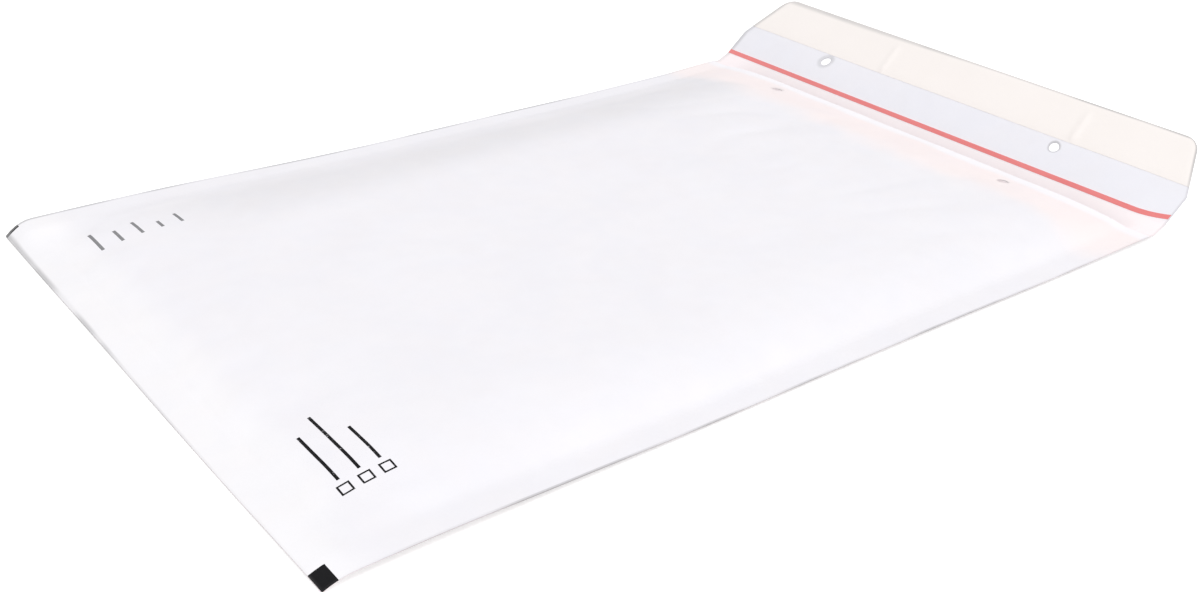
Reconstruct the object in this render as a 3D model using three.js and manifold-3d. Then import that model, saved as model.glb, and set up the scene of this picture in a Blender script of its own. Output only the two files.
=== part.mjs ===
// Padded envelope: two paper panels sealed on three sides, lined with bubble film, lying on its back
// with the flap open. Millimetres, +Z up. The origin is the middle of the back panel's flat underside.
// +X runs along the length, from the sealed bottom to the mouth and the flap. +Y runs across the width.

import * as THREE from 'three';
import { mergeVertices } from 'three/addons/utils/BufferGeometryUtils.js';
import Module from 'manifold-3d';

// Paper panels
const LENGTH = 350; // sealed bottom edge to the fold of the flap
const WIDTH = 250; // over both side seams
const PAPER = 0.25; // thickness of one panel
const SIDE_SEAM = 10; // sealed band on each side
const BOTTOM_SEAM = 12; // sealed band along the bottom
const SIDE_PULL = 1.5; // how far each side draws in between its corners

// Pillow form
const SEAM_LIFT = 2.5; // underside of the seams above the table
const BELLY_HEIGHT = 9.75; // table to the top of the front panel
const MOUTH_HEIGHT = 5.7; // table to the top of the front panel's free edge
const MOUTH_SETBACK = 2; // free edge of the front panel, short of the fold
const SHOULDER = 45; // distance over which the front panel rises from its seam
const TURN_UP = 25; // distance over which the back panel rises to its seam
const ROUNDNESS = 3; // power of the curve up from a seam: the higher, the steeper at the seam

// Bubble film
const FILM_SETBACK = 32; // end of the film, short of the fold
const FILM_INSET = 7; // edge of the film, inside the seams
const FILM_CORNER = 25; // corner radius of the film at the bottom
const FILM_BASE = 0.5; // thickness between the bubbles
const BUBBLE_HEIGHT = 2.1; // thickness over a bubble
const BUBBLE_PITCH = 14; // from one bubble to the next
const FILM_CLEARANCE = 0.3; // between the film and its panel
const POCKET_CLEARANCE = 0.25; // least room on each side of the pocket's middle, where it closes

// Flap
const FLAP_LENGTH = 49; // fold to the outer edge, along the paper
const FLAP_TILT = THREE.MathUtils.degToRad(38);
const FOLD_RADIUS = 3; // inside of the fold
const FOLD_EASE = 9; // past the fold, where the lift of its ends has run out
const CHAMFER_START = 23.5; // where the sides of the flap begin to draw in
const CHAMFER_DEPTH = 11; // how far each side has drawn in at the outer edge
const FLAP_CORNER = 5; // radius of the outer corners

// Punched holes
const HOLE_DIAMETER = 5.5;
const HOLE_SPACING = 132;
const HOLE_SHIFT = 2.5; // middle of each pair of holes, off the middle of the width
const FLAP_HOLE = 24; // fold to the holes in the flap
const PANEL_HOLE = 10; // free edge of the front panel to its holes

// Strips on the inside of the flap
const STRIP_CLEARANCE = 0.3; // under each strip
const TEAR_STRIP = 0.2; // thickness
const TEAR_WIDTH = 2.2;
const TEAR_PLACE = 10.7; // fold to the middle of the strip
const TEAR_DRIFT = 2.5; // how far one end of the strip wanders towards the outer edge
const TEAR_DRIFT_LENGTH = 16; // over which it wanders
const STRIP_MARGIN = 0.5; // ends of the tear strip, inside the sides of the flap
const ADHESIVE = 0.2; // thickness
const ADHESIVE_INSET = 2.5; // inside the release liner's outline
const RELEASE_LINER = 0.2; // thickness
const RELEASE_START = 28; // fold to the inner edge of the release liner

// How finely the curves are divided
const SHOULDER_STEPS = 6;
const SHOULDER_CROWDING = 1.5; // power that draws the steps together at the seam
const BODY_STEPS = 6;
const MOUTH_STEPS = 5;
const FOLD_STEPS = 4;
const ARC_STEPS = 5;
const HOLE_SIDES = 20;
const CUT_MARGIN = 5; // how far cutting shapes stand past what they cut

const FREE_EDGE = LENGTH - MOUTH_SETBACK;
const FILM_END = LENGTH - FILM_SETBACK;
const HALF_WIDTH = WIDTH / 2;
const FOLD_ARC = FOLD_RADIUS * FLAP_TILT;
const STRIP_BASE = PAPER + STRIP_CLEARANCE; // over the outside of the flap's paper

const wasm = await Module();
wasm.setup();

// Solids

function solidOf(geometry) {
  const bare = geometry.clone();
  bare.deleteAttribute('normal');
  bare.deleteAttribute('uv');
  const merged = mergeVertices(bare);
  return new wasm.Manifold(new wasm.Mesh({
    numProp: 3,
    vertProperties: Float32Array.from(merged.attributes.position.array),
    triVerts: Uint32Array.from(merged.index.array),
  }));
}

function geometryOf(solid) {
  const mesh = solid.getMesh();
  const geometry = new THREE.BufferGeometry();
  geometry.setAttribute('position', new THREE.BufferAttribute(mesh.vertProperties, 3));
  geometry.setIndex(new THREE.BufferAttribute(mesh.triVerts, 1));
  geometry.computeVertexNormals();
  return geometry;
}

// A closed sheet between two grids of points. Rows run along the length, columns across it.
function sheet(under, over) {
  const lastRow = under.length - 1;
  const lastColumn = under[0].length - 1;
  const points = [...under.flat(), ...over.flat()];
  const triangles = [];
  const low = (row, column) => row * (lastColumn + 1) + column;
  const high = (row, column) => low(lastRow + 1 + row, column);
  const quad = (a, b, c, d) => triangles.push(a, b, c, a, c, d);
  for (let row = 0; row < lastRow; row += 1) {
    const next = row + 1;
    for (let column = 0; column < lastColumn; column += 1) {
      const beside = column + 1;
      quad(low(row, column), low(row, beside), low(next, beside), low(next, column));
      quad(high(row, column), high(next, column), high(next, beside), high(row, beside));
    }
    quad(low(row, 0), low(next, 0), high(next, 0), high(row, 0));
    quad(low(next, lastColumn), low(row, lastColumn), high(row, lastColumn), high(next, lastColumn));
  }
  for (let column = 0; column < lastColumn; column += 1) {
    const beside = column + 1;
    quad(low(0, beside), low(0, column), high(0, column), high(0, beside));
    quad(low(lastRow, column), low(lastRow, beside), high(lastRow, beside), high(lastRow, column));
  }
  const geometry = new THREE.BufferGeometry().setFromPoints(points);
  geometry.setIndex(triangles);
  return geometry;
}

function extruded(shape, depth) {
  return new THREE.ExtrudeGeometry(shape, { depth, bevelEnabled: false, curveSegments: ARC_STEPS });
}

// A round punch standing along Z
function punch(x, y, z) {
  const radius = HOLE_DIAMETER / 2;
  const geometry = new THREE.CylinderGeometry(radius, radius, 2 * CUT_MARGIN, HOLE_SIDES);
  return geometry.rotateX(Math.PI / 2).translate(x, y, z);
}

// Form of the filled-out envelope, by the distance along it from the bottom and the place across it

function rise(distance, reach) {
  const left = 1 - THREE.MathUtils.clamp(distance / reach, 0, 1);
  return 1 - left ** ROUNDNESS;
}

function fullness(along, across, reach) {
  const fromSide = HALF_WIDTH - SIDE_SEAM - Math.abs(across);
  return rise(along - BOTTOM_SEAM, reach) * rise(fromSide, reach);
}

function backUnder(along, across) {
  return SEAM_LIFT * (1 - fullness(along, across, TURN_UP));
}

function backInside(along, across) {
  return backUnder(along, across) + PAPER;
}

function crestHeight(along) {
  const dip = THREE.MathUtils.smoothstep(along, FILM_END, FREE_EDGE);
  return THREE.MathUtils.lerp(BELLY_HEIGHT, MOUTH_HEIGHT, dip);
}

function frontInside(along, across) {
  const seam = SEAM_LIFT + PAPER;
  const crest = crestHeight(along) - PAPER;
  return seam + (crest - seam) * fullness(along, across, SHOULDER);
}

function frontTop(along, across) {
  return frontInside(along, across) + PAPER;
}

// A point of the body in space, with the sides drawn in between their corners
function bodyPoint(along, across, height) {
  const pull = SIDE_PULL * Math.sin(Math.PI * THREE.MathUtils.clamp(along / LENGTH, 0, 1));
  return new THREE.Vector3(along - LENGTH / 2, across * (1 - pull / HALF_WIDTH), height(along, across));
}

function bodyGrid(lines, height) {
  return lines.map((along) => acrossLines.map((across) => bodyPoint(along, across, height)));
}

// Lines of the grid: close together on the curves, far apart on the flats

function evenLines(from, to, steps) {
  return Array.from({ length: steps }, (_, step) => from + ((to - from) * (step + 1)) / steps);
}

function shoulderLines(start) {
  const shares = evenLines(0, 1, SHOULDER_STEPS);
  return shares.map((share) => start + SHOULDER * share ** SHOULDER_CROWDING);
}

const nearLines = [-HALF_WIDTH, SIDE_SEAM - HALF_WIDTH, ...shoulderLines(SIDE_SEAM - HALF_WIDTH)];
const acrossLines = [...nearLines, ...nearLines.map((across) => -across).reverse()];
const panelLines = [
  0,
  BOTTOM_SEAM,
  ...shoulderLines(BOTTOM_SEAM),
  ...evenLines(BOTTOM_SEAM + SHOULDER, FILM_END, BODY_STEPS),
  ...evenLines(FILM_END, FREE_EDGE, MOUTH_STEPS),
];

const holePlaces = [HOLE_SHIFT - HOLE_SPACING / 2, HOLE_SHIFT + HOLE_SPACING / 2];

// Front panel

function frontPanel() {
  let panel = solidOf(sheet(bodyGrid(panelLines, frontInside), bodyGrid(panelLines, frontTop)));
  for (const across of holePlaces) {
    panel = panel.subtract(solidOf(punch(FREE_EDGE - PANEL_HOLE - LENGTH / 2, across, MOUTH_HEIGHT)));
  }
  return geometryOf(panel);
}

// Back panel, with the flap in one piece

// The flap's own frame: X away from the fold along the paper's outside, Y across, Z out of its inside face
function placeOnFlap(object) {
  const radius = FOLD_RADIUS + PAPER;
  object.position.set(LENGTH / 2 + radius * Math.sin(FLAP_TILT), 0, radius * (1 - Math.cos(FLAP_TILT)));
  object.rotation.set(0, -FLAP_TILT, 0);
  object.updateMatrix();
  return object;
}

const flapFrame = placeOnFlap(new THREE.Group()).matrix;

// How far the seams lift the ends of the fold, running out before the tear strip
function foldLift(along, across) {
  return backUnder(LENGTH, across) * Math.max(1 - along / FOLD_EASE, 0);
}

function foldPoint(angle, across, height) {
  const radius = FOLD_RADIUS + PAPER - height;
  const x = LENGTH / 2 + radius * Math.sin(angle);
  const z = FOLD_RADIUS + PAPER - radius * Math.cos(angle);
  return new THREE.Vector3(x, across, z + foldLift(FOLD_RADIUS * angle, across));
}

// A point on the flap, in its own frame, at a distance past the fold
function flapPoint(along, across, height) {
  const lift = foldLift(along, across);
  const x = along - FOLD_ARC + lift * Math.sin(FLAP_TILT);
  return new THREE.Vector3(x, across, height + lift * Math.cos(FLAP_TILT));
}

// Half the width of the flap at a distance past the fold, for a sheet with round corners at its outer edge
function flapHalfWidth(along, outerEdge) {
  const slope = CHAMFER_DEPTH / (FLAP_LENGTH - CHAMFER_START);
  const turn = THREE.MathUtils.clamp(1 - (outerEdge - along) / FLAP_CORNER, 0, 1);
  const rounding = FLAP_CORNER * (1 - Math.sqrt(1 - turn ** 2));
  return HALF_WIDTH - slope * Math.max(along - CHAMFER_START, 0) - rounding;
}

function flapLines(start, outerEdge) {
  const turns = [0, ...evenLines(0, Math.PI / 2, ARC_STEPS)];
  const corner = turns.map((turn) => outerEdge - FLAP_CORNER * (1 - Math.sin(turn)));
  return start < CHAMFER_START ? [start, FOLD_EASE, CHAMFER_START, ...corner] : [start, ...corner];
}

function flapGrid(start, outerEdge, inset, height) {
  return flapLines(start, outerEdge).map((along) => {
    const share = (flapHalfWidth(along, outerEdge) - inset) / HALF_WIDTH;
    return acrossLines.map((across) => flapPoint(along, across * share, height));
  });
}

function backGrid(bodyHeight, height) {
  const angles = evenLines(0, FLAP_TILT, FOLD_STEPS);
  const fold = angles.map((angle) => acrossLines.map((across) => foldPoint(angle, across, height)));
  const flap = flapGrid(FOLD_ARC, FLAP_LENGTH, 0, height).slice(1);
  flap.flat().forEach((point) => point.applyMatrix4(flapFrame));
  return [...bodyGrid([...panelLines, LENGTH], bodyHeight), ...fold, ...flap];
}

function backPanel() {
  let panel = solidOf(sheet(backGrid(backUnder, 0), backGrid(backInside, PAPER)));
  for (const across of holePlaces) {
    panel = panel.subtract(solidOf(punch(FLAP_HOLE - FOLD_ARC, across, 0).applyMatrix4(flapFrame)));
  }
  return geometryOf(panel);
}

// Bubble film: a pad that follows its panel, with a bubble at one point in three of a triangular lattice

function filmDepth(along, across, fullDepth) {
  const halfGap = (frontInside(along, across) - backInside(along, across)) / 2;
  return Math.min(fullDepth, halfGap - FILM_CLEARANCE - POCKET_CLEARANCE);
}

function frontSeat(along, across) {
  return frontInside(along, across) - FILM_CLEARANCE;
}

function backSeat(along, across) {
  return backInside(along, across) + FILM_CLEARANCE;
}

function flatAt(height) {
  return () => height;
}

// Rows of the lattice along the length, with the height of the bubbly face over each point
function bubbleGrid(height) {
  const step = BUBBLE_PITCH / Math.sqrt(3);
  const columns = Math.ceil(WIDTH / (BUBBLE_PITCH / 2));
  const rows = Math.ceil(LENGTH / step + columns / 2);
  return Array.from({ length: rows + 1 }, (_, row) => (
    Array.from({ length: columns + 1 }, (__, column) => {
      const along = (row - (columns - column) / 2) * step;
      const across = (column - columns / 2) * (BUBBLE_PITCH / 2);
      const depth = (row + columns - column) % 3 === 0 ? BUBBLE_HEIGHT : FILM_BASE;
      return bodyPoint(along, across, () => height(Math.min(along, FILM_END), across, depth));
    })
  ));
}

function filmOutline() {
  const start = BOTTOM_SEAM + FILM_INSET - LENGTH / 2;
  const end = FILM_END - LENGTH / 2;
  const side = HALF_WIDTH - SIDE_SEAM - FILM_INSET;
  const outline = new THREE.Shape();
  outline.moveTo(end, -side);
  outline.lineTo(end, side);
  outline.lineTo(start + FILM_CORNER, side);
  outline.absarc(start + FILM_CORNER, side - FILM_CORNER, FILM_CORNER, Math.PI / 2, Math.PI);
  outline.lineTo(start, FILM_CORNER - side);
  outline.absarc(start + FILM_CORNER, FILM_CORNER - side, FILM_CORNER, Math.PI, 1.5 * Math.PI);
  const depth = BELLY_HEIGHT + 4 * CUT_MARGIN;
  return extruded(outline, depth).translate(0, 0, -2 * CUT_MARGIN);
}

const underAll = flatAt(-CUT_MARGIN);
const overAll = flatAt(BELLY_HEIGHT + CUT_MARGIN);

function frontFilm() {
  const pad = solidOf(sheet(bodyGrid(panelLines, underAll), bodyGrid(panelLines, frontSeat)));
  const bubbles = bubbleGrid((along, across, depth) => (
    frontSeat(along, across) - filmDepth(along, across, depth)
  ));
  const cover = solidOf(sheet(bubbles, bubbleGrid(overAll)));
  return geometryOf(pad.intersect(cover).intersect(solidOf(filmOutline())));
}

function backFilm() {
  const pad = solidOf(sheet(bodyGrid(panelLines, backSeat), bodyGrid(panelLines, overAll)));
  const bubbles = bubbleGrid((along, across, depth) => (
    backSeat(along, across) + filmDepth(along, across, depth)
  ));
  const cover = solidOf(sheet(bubbleGrid(underAll), bubbles));
  return geometryOf(pad.intersect(cover).intersect(solidOf(filmOutline())));
}

// Strips on the flap

function tearStrip() {
  const face = (height) => [-1, 1].map((edge) => acrossLines.map((across) => {
    const wander = Math.max(TEAR_DRIFT_LENGTH - HALF_WIDTH - across, 0) / TEAR_DRIFT_LENGTH;
    const along = TEAR_PLACE + (edge * TEAR_WIDTH) / 2 + TEAR_DRIFT * wander ** 2;
    return flapPoint(along, across * (1 - STRIP_MARGIN / HALF_WIDTH), height);
  }));
  return sheet(face(STRIP_BASE), face(STRIP_BASE + TEAR_STRIP));
}

function flapBand(start, outerEdge, inset, base, depth) {
  return sheet(flapGrid(start, outerEdge, inset, base), flapGrid(start, outerEdge, inset, base + depth));
}

function adhesiveStrip() {
  const start = RELEASE_START + ADHESIVE_INSET;
  return flapBand(start, FLAP_LENGTH - ADHESIVE_INSET, ADHESIVE_INSET, STRIP_BASE, ADHESIVE);
}

function releaseLiner() {
  const base = STRIP_BASE + ADHESIVE + STRIP_CLEARANCE;
  return flapBand(RELEASE_START, FLAP_LENGTH, 0, base, RELEASE_LINER);
}

// The envelope

function piece(name, geometry, color, roughness) {
  const material = new THREE.MeshStandardMaterial({ color, roughness, metalness: 0 });
  const mesh = new THREE.Mesh(geometry, material);
  mesh.name = name;
  return mesh;
}

const flapStrips = placeOnFlap(new THREE.Group());
flapStrips.add(
  piece('tear_strip', tearStrip(), '#ef4a52', 0.45),
  piece('adhesive_strip', adhesiveStrip(), '#e4d3a4', 0.3),
  piece('release_liner', releaseLiner(), '#f7f1ea', 0.4),
);

const envelope = new THREE.Group();
envelope.add(
  piece('back_panel', backPanel(), '#f1f1f6', 0.75),
  piece('front_panel', frontPanel(), '#f1f1f6', 0.75),
  piece('back_bubble_film', backFilm(), '#e3eaee', 0.25),
  piece('front_bubble_film', frontFilm(), '#e3eaee', 0.25),
  flapStrips,
);

export default envelope;
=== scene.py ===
import math

import bmesh
import bpy
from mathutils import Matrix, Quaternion, Vector, noise


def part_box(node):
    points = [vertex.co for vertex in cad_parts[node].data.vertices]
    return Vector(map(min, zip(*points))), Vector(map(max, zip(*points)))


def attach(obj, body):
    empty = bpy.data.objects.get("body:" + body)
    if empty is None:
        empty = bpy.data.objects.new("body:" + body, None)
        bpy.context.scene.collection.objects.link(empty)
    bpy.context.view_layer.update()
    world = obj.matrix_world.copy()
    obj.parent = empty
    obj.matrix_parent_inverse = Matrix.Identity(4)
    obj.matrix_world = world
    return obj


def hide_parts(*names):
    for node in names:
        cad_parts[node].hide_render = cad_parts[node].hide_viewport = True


# A padded envelope on a white table: paper panels, bubble film and the strips on its open flap.
# Metres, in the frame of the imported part: +X to the mouth and flap, +Y across, +Z up from the table.
# Sheets are laid out flat, by the distance along from the sealed bottom and the place across.

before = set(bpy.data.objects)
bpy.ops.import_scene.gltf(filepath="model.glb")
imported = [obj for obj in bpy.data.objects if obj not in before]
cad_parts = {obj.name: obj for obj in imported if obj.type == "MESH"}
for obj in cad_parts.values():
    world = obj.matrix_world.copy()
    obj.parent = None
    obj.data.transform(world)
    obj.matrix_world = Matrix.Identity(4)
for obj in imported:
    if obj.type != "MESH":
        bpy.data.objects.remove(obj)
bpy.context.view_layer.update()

MM = 0.001


def rgb(red, green, blue):
    return (red, green, blue, 1.0)


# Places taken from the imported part
front_low, front_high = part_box("front_panel")
film_low, film_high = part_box("front_bubble_film")
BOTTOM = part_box("back_panel")[0].x
FREE_EDGE = front_high.x
HALF_WIDTH = front_high.y
BELLY = front_high.z
FILM_START = film_low.x
FILM_END = film_high.x
FILM_HALF_WIDTH = film_high.y

# Paper body
PAPER = 0.25 * MM
SIDE_SEAM = 10 * MM
BOTTOM_SEAM = 12 * MM
SEAL = 0.08 * MM
SEAM_LIFT = front_low.z - PAPER
SIDE_PULL = 1.5 * MM
SHOULDER = 45 * MM
TURN_UP = 25 * MM
MOUTH_HEIGHT = 5.7 * MM
FOLD = FREE_EDGE + 2 * MM
LENGTH = FOLD - BOTTOM
PAPER_CELL = 2 * MM
SHARP_EDGE = math.radians(40)
SAME_PLACE = 1e-6

# Where the seams stray from their height; each pair is the stretch in which it comes or goes
BOTTOM_DROOP = 2.0 * MM
NEAR_DROOP = 1.2 * MM
DROOP_WIDTH = 10 * MM
NEAR_LIFT = 0.9 * MM
NEAR_LIFT_END = (30 * MM, 75 * MM)
NEAR_SAG = 1.05 * MM
NEAR_SAG_START = (55 * MM, 135 * MM)
NEAR_SAG_END = (280 * MM, 345 * MM)
FAR_LIFT = 2.7 * MM
FAR_LIFT_END = (50 * MM, 165 * MM)
FAR_SAG = 0.7 * MM
FAR_SAG_START = (200 * MM, 280 * MM)
FAR_SAG_END = (310 * MM, 345 * MM)
EDGE_WAVE = 0.45 * MM
EDGE_WAVE_SIZE = 70 * MM
EDGE_WAVE_REACH = 14 * MM

# Slack in the front panel
WIDE_SLACK = 0.35 * MM
WIDE_SLACK_SIZE = 80 * MM
FINE_SLACK = 0.2 * MM
FINE_SLACK_SIZE = 28 * MM
BOTTOM_PUCKER = 0.6 * MM
SIDE_PUCKER = 0.25 * MM
PUCKER_REACH = 9 * MM
PUCKER_SIZE = 15 * MM
BUBBLE_PRINT = 0.05 * MM
FILM_EDGE_PRINT = 0.5 * MM
FILM_EDGE_WIDTH = 3 * MM
FILM_EDGE_PATCH = 22 * MM
SLUMP = 1.8 * MM
SLUMP_START = (60 * MM, 170 * MM)
SLUMP_END = (290 * MM, 340 * MM)
SLUMP_MIDDLE = 16 * MM
SLUMP_WIDTH = 18 * MM
DENT_START = (215 * MM, 285 * MM)
DENT_END = (318 * MM, 340 * MM)
DENT_DEPTH = 0.75 * MM
DENT_SIZE = 24 * MM
WRINKLE_DEPTH = 0.9 * MM
WRINKLE_SIZE = 30 * MM
WRINKLE_SHARPNESS = 6
WRINKLE_PATCH = 45 * MM

# Flap
FLAP_LENGTH = 49 * MM
FLAP_TILT = math.radians(38)
FLAP_TWIST = math.radians(1.2)
FLAP_WAVE = 0.5 * MM
FLAP_WAVE_START = (4 * MM, 30 * MM)
FLAP_WAVE_SIZE = 60 * MM
FOLD_RADIUS = 3 * MM
FOLD_EASE = 9 * MM
FOLD_ARC = FOLD_RADIUS * FLAP_TILT
CHAMFER_START = 23.5 * MM
CHAMFER_DEPTH = 11 * MM
FLAP_CORNER = 5 * MM
FOLD_ROWS = 4
CORNER_ROWS = 5

# Punched holes
HOLE_RADIUS = 2.2 * MM
HOLE_CUTS = 3
HOLE_BURR = 0.3 * MM
HOLE_BURR_WIDTH = 1.2 * MM
HOLE_SPACING = 132 * MM
HOLE_SHIFT = 2.5 * MM
HOLE_PLACES = (HOLE_SHIFT - HOLE_SPACING / 2, HOLE_SHIFT + HOLE_SPACING / 2)
FLAP_HOLE = 24 * MM
PANEL_HOLE = 10 * MM

# Strips on the flap
TEAR_PLACE = 10.7 * MM
TEAR_WIDTH = 2.2 * MM
TEAR_INSET = 0.5 * MM
TEAR_DRIFT = 2.5 * MM
TEAR_DRIFT_LENGTH = 16 * MM
TEAR_THICKNESS = 0.08 * MM
RELEASE_START = 28 * MM
RELEASE_THICKNESS = 0.12 * MM
GLUE_INSET = 2.5 * MM
GLUE_THICKNESS = 0.2 * MM
CREASE_PLACES = (37 * MM, -68 * MM)
CREASE_WIDTH = 1.6 * MM
CREASE_HEIGHT = 0.5 * MM
CREASE_SLANT = 0.08
CREASE_END = (40 * MM, 47 * MM)
STRIP_AIR = 0.03 * MM
STRIP_CELL = 1 * MM

# Bubble film
FILM_AIR = 0.5 * MM
FILM_SKIN = 0.15 * MM
FILM_CORNER = 25 * MM
FILM_CELL = 3 * MM
BUBBLE_PITCH = 14 * MM
BUBBLE_RADIUS = 6 * MM
BUBBLE_DEPTH = 2.1 * MM
BUBBLE_SIDES = 12
BUBBLE_RINGS = 8
BELOW_RIM = -0.1

# Colours; each pair is the two ends of a mottled finish
COOL_WHITE = rgb(0.892, 0.878, 0.914)
SEAM_WHITE = rgb(0.93, 0.917, 0.94)
# Painted shade: the greyer white over the far shoulder darkens that slope beyond what the light gives
SHOULDER_PAINTED_SHADE = rgb(0.838, 0.824, 0.853)
WARM_WHITE = rgb(0.965, 0.885, 0.885)
LIP_WHITE = rgb(0.955, 0.94, 0.975)
# Warmer paper by the fold, and lighter than the flap as painted light against the shade in the fold
FOLD_TINT_AND_PAINTED_LIGHT = rgb(0.99, 0.91, 0.925)
FLAP_WHITE = rgb(0.86, 0.855, 0.905)
# Painted shade: the grey of the cut edges and of the shadow at them
EDGE_SHADE_GREY = rgb(0.36, 0.36, 0.365)
INK = rgb(0.006, 0.006, 0.007)
GREY_INK = rgb(0.25, 0.25, 0.26)
PAPER_CLOUDS = (rgb(0.968, 0.968, 0.972), rgb(1.0, 1.0, 1.0))
PAPER_WARMTH = (rgb(0.995, 0.997, 1.0), rgb(1.0, 0.997, 0.993))
TAPE_RED = (rgb(0.77, 0.175, 0.175), rgb(0.83, 0.24, 0.235))
LINER_CREAM = (rgb(0.91, 0.86, 0.83), rgb(0.935, 0.885, 0.86))
GLUE_YELLOW = (rgb(0.78, 0.68, 0.44), rgb(0.88, 0.8, 0.58))
FILM_CLEAR = (rgb(0.8, 0.84, 0.87), rgb(0.88, 0.91, 0.93))
BLACK = rgb(0.0, 0.0, 0.0)
WHITE = rgb(1.0, 1.0, 1.0)

# Painted shade line along the cut edges, for the shaded paper edge and the shadow at it: least strength,
# most strength and width
FRONT_EDGE_SHADE = (0.15, 0.6, 0.8 * MM)
BACK_EDGE_SHADE = (0.35, 0.75, 1.2 * MM)
LINER_EDGE_SHADE = (0.45, 0.8, 1.3 * MM)
FAR_EDGE_WIDER = 1.5
FAR_EDGE_DARKER = 0.2
MOUTH_EDGE_FADE = 0.65
CORNER_EDGE_FADE = 0.85

# Marks printed on the front panel; a place is the distance along and across
EYE_MARK_LENGTH = 4.8 * MM
EYE_MARK_WIDTH = 7.6 * MM
EYE_MARK_SLIVER = 4.4 * MM
TICK_PLACE = (23 * MM, -95 * MM)
TICK_PITCH = 6.5 * MM
TICK_BOX = 4 * MM
TICK_LINE = 0.6 * MM
TICK_GAP = 2 * MM
TICK_BARS = (24 * MM, 30 * MM, 18 * MM)
TICK_BAR_WIDTH = 1 * MM
NOTE_PLACE = (22 * MM, 90 * MM)
NOTE_PITCH = 7.5 * MM
NOTE_BARS = (15 * MM, 10 * MM, 12 * MM, 6 * MM, 9 * MM)
NOTE_BAR_WIDTH = 1.2 * MM

# Table, light and camera
TABLE_HALF = 4.0
TABLE_GREY = rgb(0.8, 0.8, 0.8)
TABLE_GLOW = 0.55
ROOM_GREY = rgb(0.69, 0.69, 0.69)
LAMP_PLACE = Vector((-0.8, -2.1, 3.5))
LAMP_SIZE = 2.0
LAMP_POWER = 78
CAMERA_PLACE = Vector((-288.8, -380.7, 230.5)) * MM
CAMERA_HEADING = math.radians(52.16)
CAMERA_DIP = math.radians(27.99)
CAMERA_ROLL = math.radians(1.18)
CAMERA_LENS = 42.32
CAMERA_SENSOR = 36
CAMERA_NEAREST = 0.01


def clamp(value):
    return min(max(value, 0.0), 1.0)


def smooth(value, low, high):
    share = clamp((value - low) / (high - low))
    return share * share * (3 - 2 * share)


def ripple(along, across, size, layer):
    """Smooth noise from -1 to 1 whose bumps are about this size; each use has a layer of its own."""
    return noise.noise(Vector((along / size, across / size, layer)))


# The filled-out form


def film_half_width(along):
    left = clamp(1 - (along - (FILM_START - BOTTOM)) / FILM_CORNER)
    return FILM_HALF_WIDTH - FILM_CORNER * (1 - math.sqrt(1 - left * left))


def rise(distance, reach):
    return 1 - (1 - clamp(distance / reach)) ** 3


def from_side(across):
    return HALF_WIDTH - SIDE_SEAM - abs(across)


def fullness(along, across, reach):
    return rise(along - BOTTOM_SEAM, reach) * rise(from_side(across), reach)


def bubble_print(along, across):
    """The lattice of bubbles showing faintly through the paper."""
    wave = 4 * math.pi / (math.sqrt(3) * BUBBLE_PITCH)
    total = 0.0
    for turn in (0, 1, 2):
        angle = turn * 2 * math.pi / 3
        total += math.cos(wave * (along * math.sin(angle) + across * math.cos(angle)))
    return total / 3


def pucker(distance, place, layer):
    """Short folds that start at a seam and run out over the shoulder."""
    share = max(distance, 0) / PUCKER_REACH
    return share * math.exp(1 - share) * ripple(place, 0, PUCKER_SIZE, layer)


def seam_wave(along, across):
    """The bottom seam droops to the table; each side lifts by the bottom and sags further on."""
    if across < 0:
        lift = NEAR_LIFT * (1 - smooth(along, *NEAR_LIFT_END))
        sag = NEAR_SAG * smooth(along, *NEAR_SAG_START) * (1 - smooth(along, *NEAR_SAG_END))
    else:
        lift = FAR_LIFT * (1 - smooth(along, *FAR_LIFT_END))
        sag = FAR_SAG * smooth(along, *FAR_SAG_START) * (1 - smooth(along, *FAR_SAG_END))
    droop = (1 - clamp(along / DROOP_WIDTH)) ** 2
    depth = NEAR_DROOP + (BOTTOM_DROOP - NEAR_DROOP) * smooth(across, -HALF_WIDTH, -HALF_WIDTH / 2)
    return (lift - sag) * (1 - rise(from_side(across), TURN_UP)) * (1 - droop) - depth * droop


def seam_drift(along, across):
    """How far both panels stray from their height by the seams."""
    slack = 1 - fullness(along, across, EDGE_WAVE_REACH)
    flutter = slack * EDGE_WAVE * ripple(along, across, EDGE_WAVE_SIZE, layer=3.0)
    return flutter + seam_wave(along, across)


def crest_height(along):
    dip = smooth(along, FILM_END - BOTTOM, FREE_EDGE - BOTTOM)
    return BELLY + (MOUTH_HEIGHT - BELLY) * dip


def film_edge_print(along, across):
    """The film's outline, pressing through the paper in places."""
    inside = min(along - (FILM_START - BOTTOM), film_half_width(along) - abs(across))
    patchy = clamp(0.5 + 1.2 * ripple(along, across, FILM_EDGE_PATCH, layer=21.0))
    return patchy * math.exp(-((inside / FILM_EDGE_WIDTH) ** 2))


def far_slump(along, across):
    """The far shoulder sinks a little between the corners, where the film has lost air."""
    if across < 0:
        return 0.0
    stretch = smooth(along, *SLUMP_START) * (1 - smooth(along, *SLUMP_END))
    distance = from_side(across)
    hollow = math.exp(-(((distance - SLUMP_MIDDLE) / SLUMP_WIDTH) ** 2))
    return SLUMP * stretch * rise(distance, SLUMP_MIDDLE) * hollow


def mouth_dents(along, across):
    """Soft slanting dents and wrinkles where the front has been pressed by the mouth."""
    stretch = smooth(along, *DENT_START) * (1 - smooth(along, *DENT_END))
    slant = along + 0.5 * across
    dents = DENT_DEPTH * ripple(0.6 * slant, across, DENT_SIZE, layer=11.0)
    wrinkles = (1 - abs(ripple(0.5 * slant, across, WRINKLE_SIZE, layer=13.0))) ** WRINKLE_SHARPNESS
    patchy = 0.5 + 0.5 * ripple(along, across, WRINKLE_PATCH, layer=17.0)
    return stretch * (dents - WRINKLE_DEPTH * patchy * wrinkles)


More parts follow.
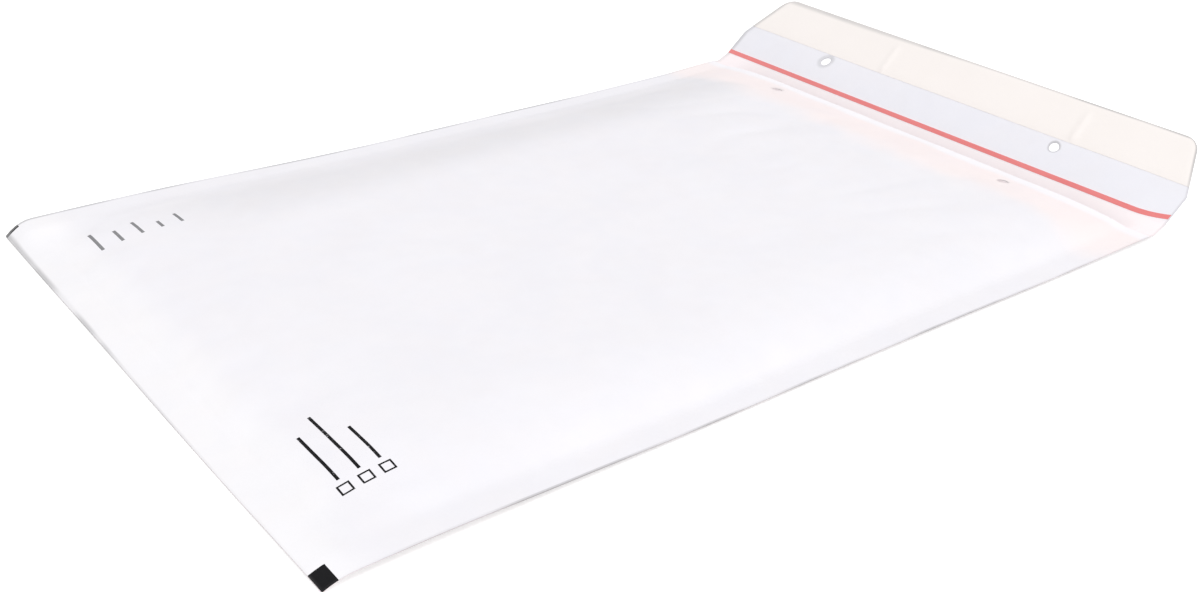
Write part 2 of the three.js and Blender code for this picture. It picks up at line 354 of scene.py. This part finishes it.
def front_top(along, across):
    seam = SEAM_LIFT + 2 * PAPER + SEAL
    full = fullness(along, across, SHOULDER)
    off_side = rise(from_side(across), TURN_UP)
    off_bottom = rise(along - BOTTOM_SEAM, TURN_UP)
    side_layer = 7.0 + math.copysign(1, across)
    height = seam + (crest_height(along) - seam) * full + seam_drift(along, across)
    height -= far_slump(along, across)
    height += full * BUBBLE_PRINT * bubble_print(along, across)
    height += full * WIDE_SLACK * ripple(along, across, WIDE_SLACK_SIZE, layer=0.0)
    height += full * FINE_SLACK * ripple(along, across, FINE_SLACK_SIZE, layer=1.5)
    height += off_side * BOTTOM_PUCKER * pucker(along - BOTTOM_SEAM, across, layer=5.0)
    height += off_bottom * SIDE_PUCKER * pucker(from_side(across), along, side_layer)
    height += full * mouth_dents(along, across)
    height += full * FILM_EDGE_PRINT * film_edge_print(along, across)
    return height


def front_inside(along, across):
    return front_top(along, across) - PAPER


def back_inside(along, across):
    return PAPER + SEAM_LIFT * (1 - fullness(along, across, TURN_UP)) + seam_drift(along, across)


def body_point(along, across, height):
    pull = SIDE_PULL * math.sin(math.pi * clamp(along / LENGTH))
    return Vector((BOTTOM + along, across * (1 - pull / HALF_WIDTH), height))


# The flap, by the distance past the fold


def fold_lift(past, across):
    ends = back_inside(LENGTH, across) - PAPER
    return ends * max(1 - past / FOLD_EASE, 0)


def flap_half_width(past, outer_edge):
    slope = CHAMFER_DEPTH / (FLAP_LENGTH - CHAMFER_START)
    turn = clamp(1 - (outer_edge - past) / FLAP_CORNER)
    rounding = FLAP_CORNER * (1 - math.sqrt(1 - turn * turn))
    return HALF_WIDTH - slope * max(past - CHAMFER_START, 0) - rounding


def flap_wave(past, across):
    return smooth(past, *FLAP_WAVE_START) * FLAP_WAVE * ripple(past, across, FLAP_WAVE_SIZE, layer=15.0)


def flap_point(past, across, height):
    """A point over the flap's inside face, in space."""
    tilt = FLAP_TILT + FLAP_TWIST * across / HALF_WIDTH
    turned = min(past / FOLD_RADIUS, tilt)
    radius = FOLD_RADIUS - height - flap_wave(past, across)
    beyond = max(past - FOLD_RADIUS * tilt, 0)
    x = FOLD + radius * math.sin(turned) + beyond * math.cos(tilt)
    z = PAPER + FOLD_RADIUS - radius * math.cos(turned) + beyond * math.sin(tilt)
    return Vector((x, across, z + fold_lift(past, across)))


def front_point(along, across):
    return body_point(along, across, front_top(along, across))


def back_point(along, across):
    if along <= LENGTH:
        return body_point(along, across, back_inside(along, across))
    past = along - LENGTH
    return flap_point(past, across * flap_half_width(past, FLAP_LENGTH) / HALF_WIDTH, 0)


# Sheets cut flat, punched, then formed


def cut_sheet(start, end, half_width, cell):
    sheet = bmesh.new()
    columns = round((end - start) / cell)
    rows = round(2 * half_width / cell)
    bmesh.ops.create_grid(sheet, x_segments=columns, y_segments=rows, size=1)
    bmesh.ops.scale(sheet, vec=((end - start) / 2, half_width, 1), verts=sheet.verts)
    bmesh.ops.translate(sheet, vec=((end + start) / 2, 0, 0), verts=sheet.verts)
    return sheet


def add_rows(sheet, places):
    """Lines across a flat sheet, where it will bend or turn a corner."""
    for along in places:
        bmesh.ops.bisect_plane(
            sheet,
            geom=[*sheet.verts, *sheet.edges, *sheet.faces],
            dist=SAME_PLACE,
            plane_co=(along, 0, 0),
            plane_no=(1, 0, 0),
        )


def corner_rows(outer_edge):
    turns = [math.pi / 2 * row / CORNER_ROWS for row in range(CORNER_ROWS)]
    return [outer_edge - FLAP_CORNER * (1 - math.sin(turn)) for turn in turns]


def punch(sheet, centre):
    """A round hole in a flat sheet, its edge pressed down a little."""
    reach = HOLE_RADIUS + 2 * PAPER_CELL
    near = [face for face in sheet.faces if (face.calc_center_median() - centre).length < reach]
    edges = {edge for face in near for edge in face.edges}
    bmesh.ops.subdivide_edges(sheet, edges=list(edges), cuts=HOLE_CUTS, use_grid_fill=True)
    waste = [vert for vert in sheet.verts if (vert.co - centre).length < HOLE_RADIUS]
    bmesh.ops.delete(sheet, geom=waste, context="VERTS")
    for vert in sheet.verts:
        spoke = vert.co - centre
        if vert.is_boundary and spoke.length < reach:
            vert.co = centre + spoke * (HOLE_RADIUS / spoke.length)
    for vert in sheet.verts:
        pressed = clamp(1 - ((vert.co - centre).length - HOLE_RADIUS) / HOLE_BURR_WIDTH)
        vert.co.z -= HOLE_BURR * pressed**2


def mark_edges(sheet, start, end, holes=()):
    """Keeps the distance of each point from the nearest cut edge, for the finish.

    An edge that is to have no painted shade line is left out by a start or end beyond it.
    """
    layer = sheet.verts.layers.float.new("edge")
    for vert in sheet.verts:
        distances = [vert.co.x - start, end - vert.co.x, HALF_WIDTH - abs(vert.co.y)]
        distances += [(vert.co - hole).length - HOLE_RADIUS for hole in holes]
        vert[layer] = max(min(distances), 0)


def form(sheet, place):
    """Moves a flat sheet to its place; heights on the flat sheet stay as heights over it."""
    for vert in sheet.verts:
        vert.co = place(vert.co.x, vert.co.y) + Vector((0, 0, vert.co.z))


def thicken(sheet, thickness):
    """Gives a formed sheet its thickness, below its upper face."""
    bmesh.ops.recalc_face_normals(sheet, faces=sheet.faces)
    upward = sum(face.normal.z for face in sheet.faces)
    if upward < 0:
        bmesh.ops.reverse_faces(sheet, faces=sheet.faces)
    bmesh.ops.solidify(sheet, geom=sheet.faces, thickness=thickness)


def finish_piece(name, shape, material):
    for face in shape.faces:
        face.smooth = True
    for edge in shape.edges:
        edge.smooth = edge.calc_face_angle(0) < SHARP_EDGE
    mesh = bpy.data.meshes.new(name)
    shape.to_mesh(mesh)
    shape.free()
    mesh.materials.append(material)
    piece = bpy.data.objects.new(name, mesh)
    bpy.context.scene.collection.objects.link(piece)
    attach(piece, "root")
    return piece


def front_paper(material):
    free_edge = FREE_EDGE - BOTTOM
    holes = [Vector((free_edge - PANEL_HOLE, across, 0)) for across in HOLE_PLACES]
    sheet = cut_sheet(0, free_edge, HALF_WIDTH, PAPER_CELL)
    add_rows(sheet, [BOTTOM_SEAM])
    for hole in holes:
        punch(sheet, hole)
    mark_edges(sheet, 0, LENGTH, holes)
    form(sheet, front_point)
    thicken(sheet, PAPER)
    piece = finish_piece("front_paper", sheet, material)
    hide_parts("front_panel")


def back_paper(material):
    end = LENGTH + FLAP_LENGTH
    holes = [Vector((LENGTH + FLAP_HOLE, across, 0)) for across in HOLE_PLACES]
    sheet = cut_sheet(0, end, HALF_WIDTH, PAPER_CELL)
    add_rows(sheet, [LENGTH + FOLD_ARC * row / FOLD_ROWS for row in range(FOLD_ROWS + 1)])
    add_rows(sheet, [LENGTH + FOLD_EASE, LENGTH + CHAMFER_START, *corner_rows(end)])
    for hole in holes:
        punch(sheet, hole)
    mark_edges(sheet, 0, end, holes)
    form(sheet, back_point)
    thicken(sheet, PAPER)
    piece = finish_piece("back_paper", sheet, material)
    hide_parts("back_panel")


# Strips on the flap


def tear_tape_point(off_middle, across):
    wander = max(TEAR_DRIFT_LENGTH - HALF_WIDTH - across, 0) / TEAR_DRIFT_LENGTH
    past = TEAR_PLACE + off_middle + TEAR_DRIFT * wander**2
    return flap_point(past, across, STRIP_AIR + TEAR_THICKNESS)


def tear_tape(material):
    sheet = cut_sheet(-TEAR_WIDTH / 2, TEAR_WIDTH / 2, HALF_WIDTH - TEAR_INSET, STRIP_CELL)
    form(sheet, tear_tape_point)
    thicken(sheet, TEAR_THICKNESS)
    piece = finish_piece("tear_tape", sheet, material)
    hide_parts("tear_strip")


def glue_point(past, across):
    share = (flap_half_width(past, FLAP_LENGTH - GLUE_INSET) - GLUE_INSET) / HALF_WIDTH
    return flap_point(past, across * share, STRIP_AIR + GLUE_THICKNESS)


def glue_band(material):
    outer_edge = FLAP_LENGTH - GLUE_INSET
    sheet = cut_sheet(RELEASE_START + GLUE_INSET, outer_edge, HALF_WIDTH, STRIP_CELL)
    add_rows(sheet, corner_rows(outer_edge))
    form(sheet, glue_point)
    thicken(sheet, GLUE_THICKNESS)
    piece = finish_piece("glue_band", sheet, material)
    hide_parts("adhesive_strip")


def liner_height(past, across):
    """Over the glue, down to the paper around it, with ridges where the liner was bent."""
    side = flap_half_width(past, FLAP_LENGTH) - abs(across)
    over_glue = smooth(min(past - RELEASE_START, FLAP_LENGTH - past, side), 0, GLUE_INSET)
    height = STRIP_AIR + RELEASE_THICKNESS + over_glue * (STRIP_AIR + GLUE_THICKNESS)
    for place in CREASE_PLACES:
        drift = across - place - CREASE_SLANT * (past - RELEASE_START)
        ridge = math.exp(-((drift / CREASE_WIDTH) ** 2))
        height += CREASE_HEIGHT * ridge * over_glue * (1 - smooth(past, *CREASE_END))
    return height


def liner_point(past, across):
    across *= flap_half_width(past, FLAP_LENGTH) / HALF_WIDTH
    return flap_point(past, across, liner_height(past, across))


def peel_liner(material):
    sheet = cut_sheet(RELEASE_START, FLAP_LENGTH, HALF_WIDTH, STRIP_CELL)
    add_rows(sheet, corner_rows(FLAP_LENGTH))
    mark_edges(sheet, 0, FLAP_LENGTH)
    form(sheet, liner_point)
    thicken(sheet, RELEASE_THICKNESS)
    piece = finish_piece("peel_liner", sheet, material)
    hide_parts("release_liner")


# Bubble film


def back_film_seat(along, across):
    return back_inside(along, across) + FILM_AIR


def front_film_seat(along, across):
    return front_inside(along, across) - FILM_AIR


def film_depth(along, across):
    room = front_inside(along, across) - back_inside(along, across)
    return min(BUBBLE_DEPTH, room / 2 - 2 * FILM_AIR)


def bubble_places():
    step = BUBBLE_PITCH * math.sqrt(3) / 2
    rows = int((FILM_END - FILM_START) / step)
    columns = int(2 * FILM_HALF_WIDTH / BUBBLE_PITCH)
    for row in range(rows + 1):
        along = FILM_START - BOTTOM + (row + 0.5) * step
        for column in range(-columns, columns + 1):
            across = (column + (row % 2) / 2) * BUBBLE_PITCH
            inside = film_half_width(along) - BUBBLE_RADIUS
            if abs(across) < inside and along < FILM_END - BOTTOM - BUBBLE_RADIUS:
                yield along, across


def dome():
    """The upper half of a ball of radius 1, closed by a flat base."""
    shape = bmesh.new()
    bmesh.ops.create_uvsphere(shape, u_segments=BUBBLE_SIDES, v_segments=BUBBLE_RINGS, radius=1)
    lower_half = [vert for vert in shape.verts if vert.co.z < BELOW_RIM]
    bmesh.ops.delete(shape, geom=lower_half, context="VERTS")
    rim = [edge for edge in shape.edges if edge.is_boundary]
    bmesh.ops.contextual_create(shape, geom=rim)
    bmesh.ops.recalc_face_normals(shape, faces=shape.faces)
    return shape


def bubble_film(name, node, seat, direction, material):
    """A film whose flat side follows a seat and whose bubbles point up (1) or down (-1)."""
    sheet = cut_sheet(FILM_START - BOTTOM, FILM_END - BOTTOM, FILM_HALF_WIDTH, FILM_CELL)
    for vert in sheet.verts:
        vert.co.y *= film_half_width(vert.co.x) / FILM_HALF_WIDTH
    thicken(sheet, FILM_SKIN)
    source = dome()
    cap = bpy.data.meshes.new("bubble")
    source.to_mesh(cap)
    source.free()
    for along, across in bubble_places():
        before = len(sheet.verts)
        sheet.from_mesh(cap)
        sheet.verts.ensure_lookup_table()
        bubble = sheet.verts[before:]
        height = film_depth(along, across) - FILM_SKIN
        bmesh.ops.scale(sheet, vec=(BUBBLE_RADIUS, BUBBLE_RADIUS, height), verts=bubble)
        bmesh.ops.translate(sheet, vec=(along, across, 0), verts=bubble)
    bpy.data.meshes.remove(cap)
    for vert in sheet.verts:
        along, across, over = vert.co
        vert.co = body_point(along, across, seat(along, across) + (over + FILM_SKIN) * direction)
    sheet.normal_update()
    bmesh.ops.recalc_face_normals(sheet, faces=sheet.faces)
    piece = finish_piece(name, sheet, material)
    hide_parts(node)


# Finishes


class Tone:
    """A socket of a material's nodes, for use in Python sums and products."""

    def __init__(self, tree, socket=None):
        self.tree = tree
        self.socket = socket

    def node(self, kind, sockets, output=0, **settings):
        made = self.tree.nodes.new(kind)
        for name, value in settings.items():
            setattr(made, name, value)
        for name, value in sockets.items():
            if isinstance(value, Tone):
                self.tree.links.new(value.socket, made.inputs[name])
            else:
                made.inputs[name].default_value = value
        return Tone(self.tree, made.outputs[output])

    def math(self, operation, first, second):
        return self.node("ShaderNodeMath", {0: first, 1: second}, operation=operation)

    def __add__(self, other):
        return self.math("ADD", self, other)

    __radd__ = __add__

    def __sub__(self, other):
        return self.math("SUBTRACT", self, other)

    def __rsub__(self, other):
        return self.math("SUBTRACT", other, self)

    def __mul__(self, other):
        return self.math("MULTIPLY", self, other)

    __rmul__ = __mul__

    def __gt__(self, other):
        return self.math("GREATER_THAN", self, other)

    def __lt__(self, other):
        return self.math("LESS_THAN", self, other)

    def most(self, other):
        return self.math("MAXIMUM", self, other)

    def between(self, low, high):
        """0 below low, 1 above high, smooth in between."""
        sockets = {"Value": self, "From Min": low, "From Max": high}
        return self.node("ShaderNodeMapRange", sockets, interpolation_type="SMOOTHSTEP", clamp=True)

    def tint(self, plain, tinted):
        """From one colour to another as this goes from 0 to 1."""
        return self.node("ShaderNodeMix", {0: self, 6: plain, 7: tinted}, output=2, data_type="RGBA")

    def times(self, other):
        """One colour multiplied by another."""
        return self.node("ShaderNodeVectorMath", {0: self, 1: other}, operation="MULTIPLY")

    def axis(self, number):
        return self.node("ShaderNodeSeparateXYZ", {"Vector": self}, output=number)


def new_finish(name):
    """A material with a plain shader, and the place on the piece to start patterns from."""
    material = bpy.data.materials.new(name)
    material.use_nodes = True
    shader = material.node_tree.nodes["Principled BSDF"]
    place = Tone(material.node_tree).node("ShaderNodeTexCoord", {}, output="Object")
    return material, shader, place


def connect(shader, **sockets):
    for name, value in sockets.items():
        socket = shader.inputs[name.replace("_", " ")]
        if isinstance(value, Tone):
            value.tree.links.new(value.socket, socket)
        else:
            socket.default_value = value


def grain(place, scale, detail=2.0):
    return place.node("ShaderNodeTexNoise", {"Vector": place, "Scale": scale, "Detail": detail})


def bumped(height, strength, distance):
    return height.node("ShaderNodeBump", {"Height": height, "Strength": strength, "Distance": distance})


def with_painted_edge_shade(place, colour, least, most, width):
    """A painted shade line along the cut edges, for the shaded paper edge and the shadow at it: patchy,
    wider and darker on the far side, faint by the mouth and one corner.
    """
    edge = place.node("ShaderNodeAttribute", {}, output="Fac", attribute_name="edge")
    x = place.axis(0)
    y = place.axis(1)
    mouth = x.between(FILM_END - 50 * MM, FILM_END) * (1 - x.between(FOLD + 2 * MM, FOLD + 12 * MM))
    by_bottom = 1 - x.between(BOTTOM + 10 * MM, BOTTOM + 36 * MM)
    corner = by_bottom * (1 - y.between(-0.9 * HALF_WIDTH, 0.5 * HALF_WIDTH))
    far = y.between(-0.2 * HALF_WIDTH, 0.6 * HALF_WIDTH)
    amount = least + (most - least) * grain(place, 25).between(0.4, 0.6)
    amount = amount * (1 - FAR_EDGE_DARKER + FAR_EDGE_DARKER * far)
    amount = amount * (1 - MOUTH_EDGE_FADE * mouth) * (1 - CORNER_EDGE_FADE * corner)
    reach = width * (1 + FAR_EDGE_WIDER * far)
    return (amount * (1 - edge.between(0.25 * reach, reach))).tint(colour, EDGE_SHADE_GREY)


def paper_base(place, shader, colour, edge_shade_line):
    """Fibres, faint clouds of light and warmth, a dull, slightly uneven surface, and the painted shade line
    along the cut edges.
    """
    fibres = grain(place, 1400, 3.0)
    clouds = grain(place, 30, 2.0)
    mottle = grain(place, 130, 3.0)
    worn = (clouds - 0.5) * 0.1 + (mottle - 0.5) * 0.08 + (fibres - 0.5) * 0.05
    shaded = worn.between(-0.05, 0.05).tint(*PAPER_CLOUDS)
    warmth = grain(place, 75, 3.0).between(0.35, 0.65).tint(*PAPER_WARMTH)
    connect(
        shader,
        Base_Color=with_painted_edge_shade(place, colour.times(shaded).times(warmth), *edge_shade_line),
        Roughness=0.66 + (fibres - 0.5) * 0.2,
        Normal=bumped(fibres + clouds * 2, 0.12, 0.1 * MM),
        Specular_IOR_Level=0.12,
    )


def bar(x, y, along, across, length, width):
    """A printed bar with its middle at a place on the panel."""
    inside = (x > BOTTOM + along - length / 2) * (x < BOTTOM + along + length / 2)
    return inside * (y > across - width / 2) * (y < across + width / 2)


def eye_mark(x, y):
    """The black register mark on the corner, and the sliver of the next one on the far edge."""
    middle = EYE_MARK_LENGTH / 2
    mark = bar(x, y, middle, EYE_MARK_WIDTH / 2 - HALF_WIDTH, EYE_MARK_LENGTH, EYE_MARK_WIDTH)
    return mark.most(bar(x, y, middle, HALF_WIDTH, EYE_MARK_LENGTH, EYE_MARK_SLIVER))


def tick_rows(x, y):
    """Rows of an outlined box with a plain bar beside it, like a packing list left blank."""
    total = None
    for row, length in enumerate(TICK_BARS):
        along = TICK_PLACE[0] + row * TICK_PITCH
        across = TICK_PLACE[1]
        outer = bar(x, y, along, across, TICK_BOX, TICK_BOX)
        inner = bar(x, y, along, across, TICK_BOX - 2 * TICK_LINE, TICK_BOX - 2 * TICK_LINE)
        start = across + TICK_BOX / 2 + TICK_GAP
        rows = (outer - inner).most(bar(x, y, along, start + length / 2, TICK_BAR_WIDTH, length))
        total = rows if total is None else total.most(rows)
    return total


def note_bars(x, y):
    """Small grey bars by the far corner."""
    total = None
    start = NOTE_PLACE[1] - NOTE_BARS[0] / 2
    for row, width in enumerate(NOTE_BARS):
        along = NOTE_PLACE[0] + row * NOTE_PITCH
        line = bar(x, y, along, start + width / 2, NOTE_BAR_WIDTH, width)
        total = line if total is None else total.most(line)
    return total


def far_shoulder_painted_shade(x, y):
    """The band along the far shoulder, greyed as painted shade that darkens the slope more than the lamp
    does.
    """
    inner_side = y.between(HALF_WIDTH - 66 * MM, HALF_WIDTH - 40 * MM)
    outer_side = y.between(HALF_WIDTH - 30 * MM, HALF_WIDTH - 10 * MM)
    return inner_side * (1 - outer_side) * x.between(BOTTOM + 35 * MM, BOTTOM + 90 * MM)


def front_paper_finish():
    material, shader, place = new_finish("front_paper")
    x = place.axis(0)
    y = place.axis(1)
    uneven = (grain(place, 30) - 0.5) * (24 * MM)
    near_corner = 8 * MM * (1 - y.between(10 * MM - HALF_WIDTH, 50 * MM - HALF_WIDTH))
    bottom = 1 - (x + uneven * 0.4 + near_corner).between(FILM_START - 5 * MM, FILM_START + 7 * MM)
    mouth = (x + uneven).between(FILM_END - 8 * MM, FILM_END + 8 * MM)
    lip = (x + uneven * 0.25).between(FREE_EDGE - 7 * MM, FREE_EDGE - 2.5 * MM)
    # Painted shade: the band over the far shoulder is painted greyer
    colour = far_shoulder_painted_shade(x, y + uneven * 0.4).tint(COOL_WHITE, SHOULDER_PAINTED_SHADE)
    colour = bottom.tint(colour, SEAM_WHITE)
    colour = mouth.tint(colour, WARM_WHITE)
    colour = lip.tint(colour, LIP_WHITE)
    density = grain(place, 900).between(0.1, 0.4)
    colour = (note_bars(x, y) * density).tint(colour, GREY_INK)
    colour = (tick_rows(x, y) * density).tint(colour, INK)
    colour = eye_mark(x, y).tint(colour, INK)
    paper_base(place, shader, colour, FRONT_EDGE_SHADE)
    return material


def back_paper_finish():
    material, shader, place = new_finish("back_paper")
    # By the fold the paper is warmer, and painted lighter than the flap as painted light against the fold's
    # shade
    colour = place.axis(0).between(FOLD + 6 * MM, FOLD + 12 * MM).tint(FOLD_TINT_AND_PAINTED_LIGHT, FLAP_WHITE)
    paper_base(place, shader, colour, BACK_EDGE_SHADE)
    return material


def tear_tape_finish():
    material, shader, place = new_finish("tear_tape")
    stretched = place.node("ShaderNodeMapping", {"Vector": place, "Scale": (900, 60, 900)})
    streaks = grain(stretched, 1.0)
    connect(
        shader,
        Base_Color=streaks.tint(*TAPE_RED),
        Roughness=0.3 + streaks * 0.2,
        Normal=bumped(streaks, 0.2, 0.05 * MM),
        Coat_Weight=0.2,
    )
    return material


def peel_liner_finish():
    material, shader, place = new_finish("peel_liner")
    clouds = grain(place, 45)
    fine = grain(place, 1800)
    # The liner's cut edges get the painted shade line too
    connect(
        shader,
        Base_Color=with_painted_edge_shade(place, clouds.tint(*LINER_CREAM), *LINER_EDGE_SHADE),
        Roughness=0.36 + clouds * 0.12,
        Normal=bumped(fine + clouds * 3, 0.1, 0.08 * MM),
    )
    return material


def glue_finish():
    material, shader, place = new_finish("glue")
    clouds = grain(place, 150)
    connect(
        shader,
        Base_Color=clouds.tint(*GLUE_YELLOW),
        Roughness=0.18 + clouds * 0.15,
        Normal=bumped(clouds, 0.3, 0.1 * MM),
    )
    return material


def bubble_film_finish():
    material, shader, place = new_finish("bubble_film")
    clouds = grain(place, 120)
    connect(
        shader,
        Base_Color=clouds.tint(*FILM_CLEAR),
        Roughness=0.12 + clouds * 0.15,
        Normal=bumped(clouds, 0.15, 0.1 * MM),
        Alpha=0.7,
    )
    return material


# Table, light and camera


def seen_directly(tree):
    """1 where the camera, a reflection or a clear piece looks at it, 0 where it only gives light."""
    start = Tone(tree)
    straight = start.node("ShaderNodeLightPath", {}, output="Is Camera Ray")
    mirrored = start.node("ShaderNodeLightPath", {}, output="Is Glossy Ray")
    through = start.node("ShaderNodeLightPath", {}, output="Is Transmission Ray")
    return straight + mirrored + through


def white_table():
    shape = bmesh.new()
    bmesh.ops.create_grid(shape, x_segments=1, y_segments=1, size=TABLE_HALF)
    mesh = bpy.data.meshes.new("table")
    shape.to_mesh(mesh)
    shape.free()
    table = bpy.data.objects.new("table", mesh)
    bpy.context.scene.collection.objects.link(table)
    material, shader, place = new_finish("table")
    connect(
        shader,
        Base_Color=TABLE_GREY,
        Roughness=0.9,
        Specular_IOR_Level=0.0,
        Emission_Color=seen_directly(place.tree).tint(BLACK, WHITE),
        Emission_Strength=TABLE_GLOW,
    )
    mesh.materials.append(material)


def white_room():
    world = bpy.data.worlds.new("room")
    bpy.context.scene.world = world
    world.use_nodes = True
    tree = world.node_tree
    connect(tree.nodes["Background"], Color=seen_directly(tree).tint(ROOM_GREY, WHITE))


def soft_lamp():
    lamp = bpy.data.lights.new("key", "AREA")
    lamp.size = LAMP_SIZE
    lamp.energy = LAMP_POWER
    holder = bpy.data.objects.new("key", lamp)
    holder.location = LAMP_PLACE
    holder.rotation_euler = (-LAMP_PLACE).to_track_quat("-Z", "Y").to_euler()
    bpy.context.scene.collection.objects.link(holder)


def camera():
    lens = bpy.data.cameras.new("camera")
    lens.lens = CAMERA_LENS
    lens.sensor_width = CAMERA_SENSOR
    lens.clip_start = CAMERA_NEAREST
    level = Vector((math.cos(CAMERA_HEADING), math.sin(CAMERA_HEADING), 0))
    forward = level * math.cos(CAMERA_DIP) - Vector((0, 0, math.sin(CAMERA_DIP)))
    holder = bpy.data.objects.new("camera", lens)
    holder.location = CAMERA_PLACE
    turn = forward.to_track_quat("-Z", "Y") @ Quaternion((0, 0, 1), CAMERA_ROLL)
    holder.rotation_euler = turn.to_euler()
    bpy.context.scene.collection.objects.link(holder)
    bpy.context.scene.camera = holder


front_paper(front_paper_finish())
back_paper(back_paper_finish())
tear_tape(tear_tape_finish())
glue_band(glue_finish())
peel_liner(peel_liner_finish())
film_finish = bubble_film_finish()
bubble_film("back_film", "back_bubble_film", back_film_seat, 1, film_finish)
bubble_film("front_film", "front_bubble_film", front_film_seat, -1, film_finish)

white_table()
white_room()
soft_lamp()
camera()
bpy.context.scene.view_settings.view_transform = "Standard"
